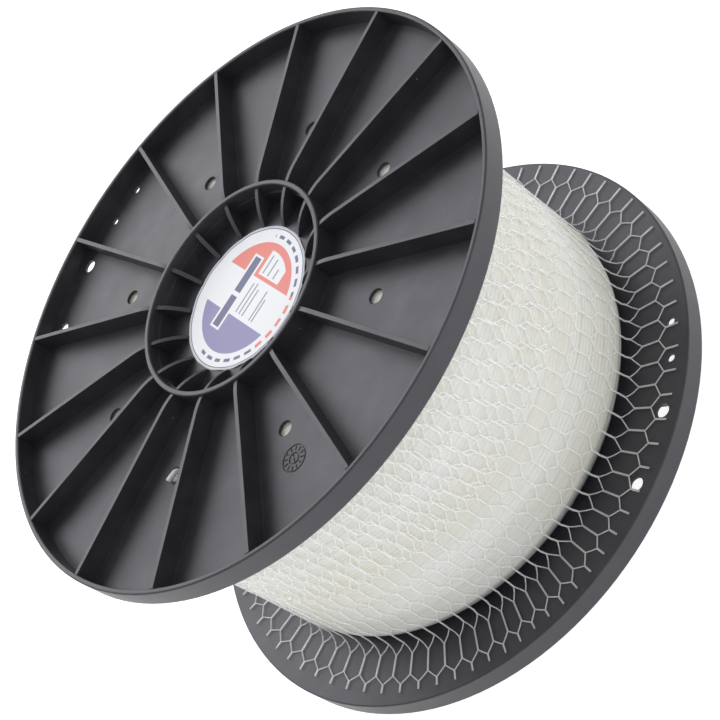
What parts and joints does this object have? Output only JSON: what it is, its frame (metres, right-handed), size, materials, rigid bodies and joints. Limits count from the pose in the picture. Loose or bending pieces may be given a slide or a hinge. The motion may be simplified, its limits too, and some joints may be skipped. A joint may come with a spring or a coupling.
{
  "type": "line reel",
  "caption": "Large moulded reel with two ribbed flanges, wound with clear nylon trimmer line under a hexagonal net sleeve.",
  "frame": {"origin": "on the reel's axis, in the plane that the rear hub ring stands on", "axes": "+Z along the reel's axis, from the rear flange to the labelled front flange; the first rib of the front flange lies 8.7 degrees from +X"},
  "size_m": [0.355, 0.355, 0.1932],
  "materials": {
    "flange": "satin black moulded polypropylene",
    "barrel": "satin black moulded polypropylene",
    "line": "translucent milky nylon monofilament",
    "net": "extruded white polyethylene net",
    "label": "coated printed paper"
  },
  "bodies": {
    "root": {"front_flange": "flange", "rear_flange": "flange", "barrel": "barrel", "arbor_tube": "barrel", "wound_line": "line", "line_inner_end": "line", "net_sleeve": "net", "hub_label": "label"}
  },
  "joints": []
}
